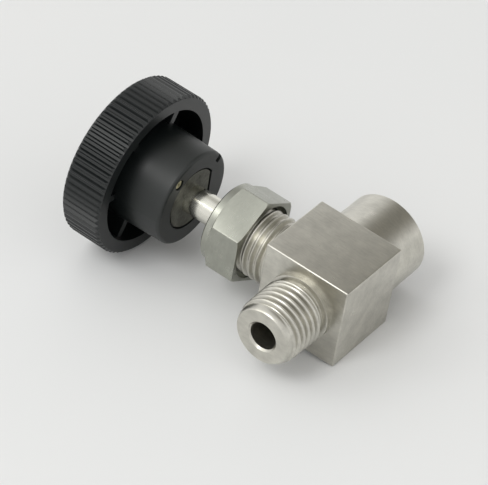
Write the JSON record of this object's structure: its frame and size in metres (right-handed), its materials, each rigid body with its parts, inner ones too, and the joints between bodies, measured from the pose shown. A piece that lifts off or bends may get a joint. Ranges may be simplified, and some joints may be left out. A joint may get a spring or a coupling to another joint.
{
  "type": "needle valve",
  "caption": "Small bar-stock needle valve with a threaded male port, a threaded female port, a packing nut and a ribbed handwheel that screws the needle off its seat.",
  "frame": {"origin": "the middle of the square body block's back flat, on the stem axis", "axes": "+X along the stem towards the handwheel, +Y along the flow out of the male port, +Z square to the block's upper flat"},
  "size_m": [0.0608, 0.0401, 0.0352],
  "materials": {
    "body_steel": "fine ground flats, turned ports",
    "nut_steel": "satin",
    "gland_steel": "turned",
    "washer_steel": "plain",
    "stem_steel": "polished",
    "needle_steel": "polished",
    "packing_ptfe": "waxy white",
    "wheel_plastic": "moulded, semi-matt",
    "insert_metal": "dull, as cast",
    "screw_brass": "dull"
  },
  "bodies": {
    "valve": {"valve_body": "body_steel", "packing_washer": "washer_steel", "packing_ring_1": "packing_ptfe", "packing_ring_2": "packing_ptfe", "packing_ring_3": "packing_ptfe"},
    "gland": {"gland_follower": "gland_steel"},
    "nut": {"packing_nut": "nut_steel"},
    "needle": {"needle_tip": "needle_steel"},
    "spindle": {"stem": "stem_steel", "handwheel": "wheel_plastic", "hub_insert": "insert_metal", "lock_screw": "screw_brass"}
  },
  "joints": [
    {"name": "needle_lift", "type": "slide", "parent": "valve", "child": "needle", "axis": [1, 0, 0], "range_m": [0, 0.0035]},
    {"name": "handwheel_turn", "type": "hinge", "parent": "needle", "child": "spindle", "pos_m": [0.0425, 0, 0], "axis": [1, 0, 0], "range_deg": [0, 1260]},
    {"name": "gland_travel", "type": "slide", "parent": "valve", "child": "gland", "axis": [1, 0, 0], "range_m": [0, 0.00075]},
    {"name": "packing_nut_turn", "type": "hinge", "parent": "gland", "child": "nut", "pos_m": [0.0295, 0, 0], "axis": [1, 0, 0], "range_deg": [0, 180]}
  ],
  "couplings": [
    {"joint": "handwheel_turn", "follows": "needle_lift", "rad_per_m": 6283.2},
    {"joint": "packing_nut_turn", "follows": "gland_travel", "rad_per_m": 4188.8}
  ]
}
